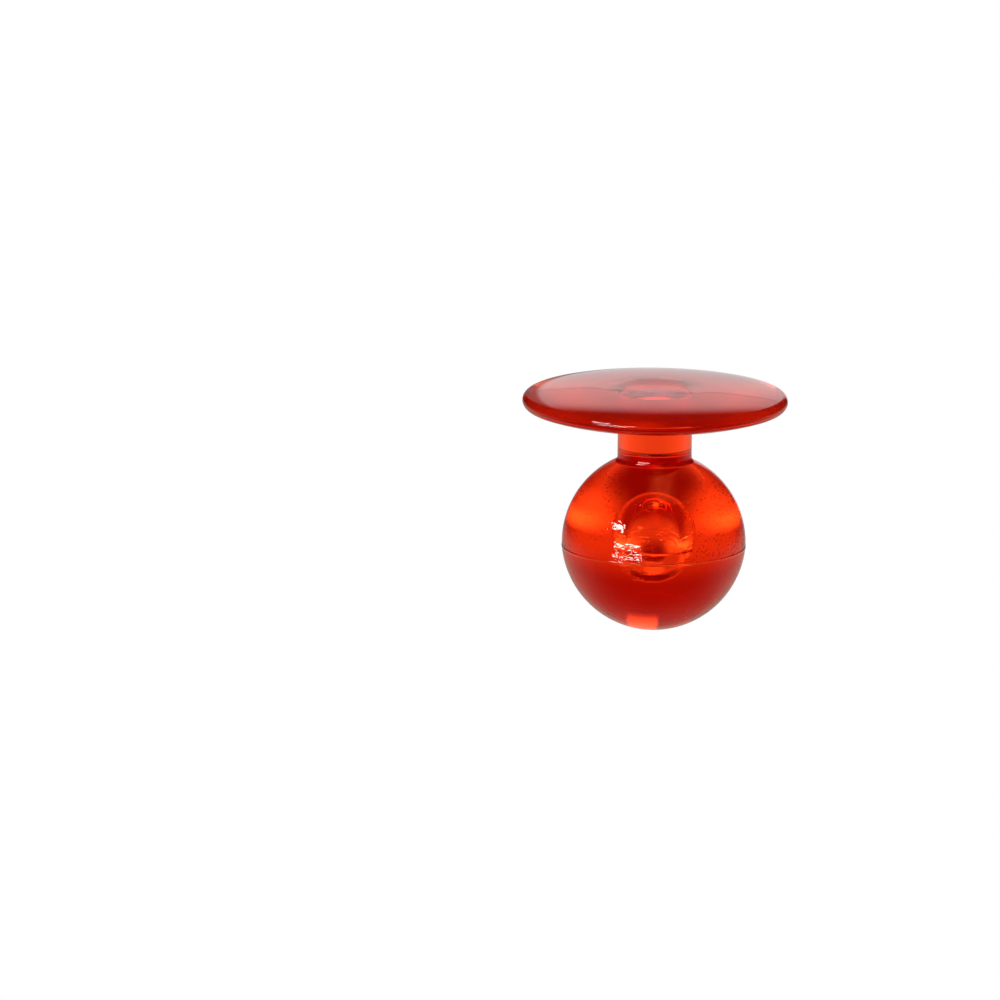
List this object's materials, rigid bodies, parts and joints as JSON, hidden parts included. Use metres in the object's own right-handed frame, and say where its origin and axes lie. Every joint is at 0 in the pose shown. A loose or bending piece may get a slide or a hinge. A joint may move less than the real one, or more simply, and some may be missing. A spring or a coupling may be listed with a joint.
{
  "type": "stud button",
  "caption": "Clear red moulded stud button: a ball on a short neck over a round-edged disc, pushed through buttonholes to fasten a jacket.",
  "frame": {"origin": "centre of the disc's outer face, on the surface that the stud stands on", "axes": "+Z along the stud's axis, from the disc to the ball; X and Y are free, as the stud is round"},
  "size_m": [0.0152, 0.0152, 0.0142],
  "materials": {
    "clear_red": "clear red plastic, glossy, finely pitted on the neck side of the ball"
  },
  "bodies": {
    "root": {"stud_button": "clear_red"}
  },
  "joints": []
}
